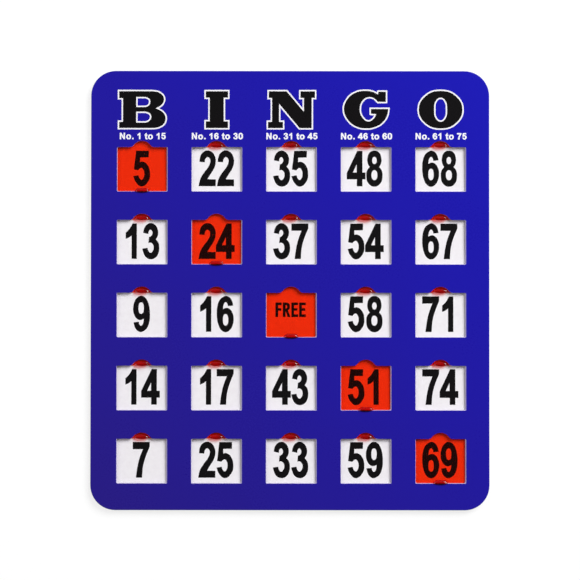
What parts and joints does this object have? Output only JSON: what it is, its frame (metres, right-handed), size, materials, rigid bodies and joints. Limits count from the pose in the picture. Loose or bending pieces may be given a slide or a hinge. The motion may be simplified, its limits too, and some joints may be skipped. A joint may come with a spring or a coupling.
{
  "type": "bingo card",
  "caption": "Laminated board bingo card with a grid of notched number windows, each covered or uncovered by a red see-through sliding shutter.",
  "frame": {"origin": "centre of the back face, on the surface that the card lies on", "axes": "+X to the right of the grid, +Y towards the title, +Z out of the printed front"},
  "size_m": [0.1842, 0.203, 0.0039],
  "materials": {
    "front_cover": "solid white paperboard, blue print under satin laminate",
    "front_spacer": "solid white paperboard, uncoated",
    "number_sheet": "smooth white card with black printed numbers",
    "rear_spacer": "solid grey paperboard, uncoated",
    "back_board": "solid paperboard lined with white paper",
    "shutter": "clear red tinted plastic, glossy",
    "black_ink": "black printing ink",
    "white_ink": "white printing ink"
  },
  "bodies": {
    "card": {"front_cover": "front_cover", "front_spacer": "front_spacer", "number_sheet": "number_sheet", "rear_spacer": "rear_spacer", "back_board": "back_board"},
    "shutter_b1": {"shutter_b1": "shutter"},
    "shutter_b2": {"shutter_b2": "shutter"},
    "shutter_b3": {"shutter_b3": "shutter"},
    "shutter_b4": {"shutter_b4": "shutter"},
    "shutter_b5": {"shutter_b5": "shutter"},
    "shutter_i1": {"shutter_i1": "shutter"},
    "shutter_i2": {"shutter_i2": "shutter"},
    "shutter_i3": {"shutter_i3": "shutter"},
    "shutter_i4": {"shutter_i4": "shutter"},
    "shutter_i5": {"shutter_i5": "shutter"},
    "shutter_n1": {"shutter_n1": "shutter"},
    "shutter_n2": {"shutter_n2": "shutter"},
    "shutter_n3": {"shutter_n3": "shutter"},
    "shutter_n4": {"shutter_n4": "shutter"},
    "shutter_n5": {"shutter_n5": "shutter"},
    "shutter_g1": {"shutter_g1": "shutter"},
    "shutter_g2": {"shutter_g2": "shutter"},
    "shutter_g3": {"shutter_g3": "shutter"},
    "shutter_g4": {"shutter_g4": "shutter"},
    "shutter_g5": {"shutter_g5": "shutter"},
    "shutter_o1": {"shutter_o1": "shutter"},
    "shutter_o2": {"shutter_o2": "shutter"},
    "shutter_o3": {"shutter_o3": "shutter"},
    "shutter_o4": {"shutter_o4": "shutter"},
    "shutter_o5": {"shutter_o5": "shutter"}
  },
  "joints": [
    {"name": "shutter_b1_slide", "type": "slide", "parent": "card", "child": "shutter_b1", "axis": [0, -0.9997, 0.0237], "range_m": [-0.02091, 0]},
    {"name": "shutter_b2_slide", "type": "slide", "parent": "card", "child": "shutter_b2", "axis": [0, -0.9997, 0.0237], "range_m": [0, 0.02091]},
    {"name": "shutter_b3_slide", "type": "slide", "parent": "card", "child": "shutter_b3", "axis": [0, -0.9997, 0.0237], "range_m": [0, 0.02091]},
    {"name": "shutter_b4_slide", "type": "slide", "parent": "card", "child": "shutter_b4", "axis": [0, -0.9997, 0.0237], "range_m": [0, 0.02091]},
    {"name": "shutter_b5_slide", "type": "slide", "parent": "card", "child": "shutter_b5", "axis": [0, -0.9997, 0.0237], "range_m": [0, 0.02091]},
    {"name": "shutter_i1_slide", "type": "slide", "parent": "card", "child": "shutter_i1", "axis": [0, -0.9997, 0.0237], "range_m": [0, 0.02091]},
    {"name": "shutter_i2_slide", "type": "slide", "parent": "card", "child": "shutter_i2", "axis": [0, -0.9997, 0.0237], "range_m": [-0.02091, 0]},
    {"name": "shutter_i3_slide", "type": "slide", "parent": "card", "child": "shutter_i3", "axis": [0, -0.9997, 0.0237], "range_m": [0, 0.02091]},
    {"name": "shutter_i4_slide", "type": "slide", "parent": "card", "child": "shutter_i4", "axis": [0, -0.9997, 0.0237], "range_m": [0, 0.02091]},
    {"name": "shutter_i5_slide", "type": "slide", "parent": "card", "child": "shutter_i5", "axis": [0, -0.9997, 0.0237], "range_m": [0, 0.02091]},
    {"name": "shutter_n1_slide", "type": "slide", "parent": "card", "child": "shutter_n1", "axis": [0, -0.9997, 0.0237], "range_m": [0, 0.02091]},
    {"name": "shutter_n2_slide", "type": "slide", "parent": "card", "child": "shutter_n2", "axis": [0, -0.9997, 0.0237], "range_m": [0, 0.02091]},
    {"name": "shutter_n3_slide", "type": "slide", "parent": "card", "child": "shutter_n3", "axis": [0, -0.9997, 0.0237], "range_m": [-0.02091, 0]},
    {"name": "shutter_n4_slide", "type": "slide", "parent": "card", "child": "shutter_n4", "axis": [0, -0.9997, 0.0237], "range_m": [0, 0.02091]},
    {"name": "shutter_n5_slide", "type": "slide", "parent": "card", "child": "shutter_n5", "axis": [0, -0.9997, 0.0237], "range_m": [0, 0.02091]},
    {"name": "shutter_g1_slide", "type": "slide", "parent": "card", "child": "shutter_g1", "axis": [0, -0.9997, 0.0237], "range_m": [0, 0.02091]},
    {"name": "shutter_g2_slide", "type": "slide", "parent": "card", "child": "shutter_g2", "axis": [0, -0.9997, 0.0237], "range_m": [0, 0.02091]},
    {"name": "shutter_g3_slide", "type": "slide", "parent": "card", "child": "shutter_g3", "axis": [0, -0.9997, 0.0237], "range_m": [0, 0.02091]},
    {"name": "shutter_g4_slide", "type": "slide", "parent": "card", "child": "shutter_g4", "axis": [0, -0.9997, 0.0237], "range_m": [-0.02091, 0]},
    {"name": "shutter_g5_slide", "type": "slide", "parent": "card", "child": "shutter_g5", "axis": [0, -0.9997, 0.0237], "range_m": [0, 0.02091]},
    {"name": "shutter_o1_slide", "type": "slide", "parent": "card", "child": "shutter_o1", "axis": [0, -0.9997, 0.0237], "range_m": [0, 0.02091]},
    {"name": "shutter_o2_slide", "type": "slide", "parent": "card", "child": "shutter_o2", "axis": [0, -0.9997, 0.0237], "range_m": [0, 0.02091]},
    {"name": "shutter_o3_slide", "type": "slide", "parent": "card", "child": "shutter_o3", "axis": [0, -0.9997, 0.0237], "range_m": [0, 0.02091]},
    {"name": "shutter_o4_slide", "type": "slide", "parent": "card", "child": "shutter_o4", "axis": [0, -0.9997, 0.0237], "range_m": [0, 0.02091]},
    {"name": "shutter_o5_slide", "type": "slide", "parent": "card", "child": "shutter_o5", "axis": [0, -0.9997, 0.0237], "range_m": [-0.02091, 0]}
  ]
}
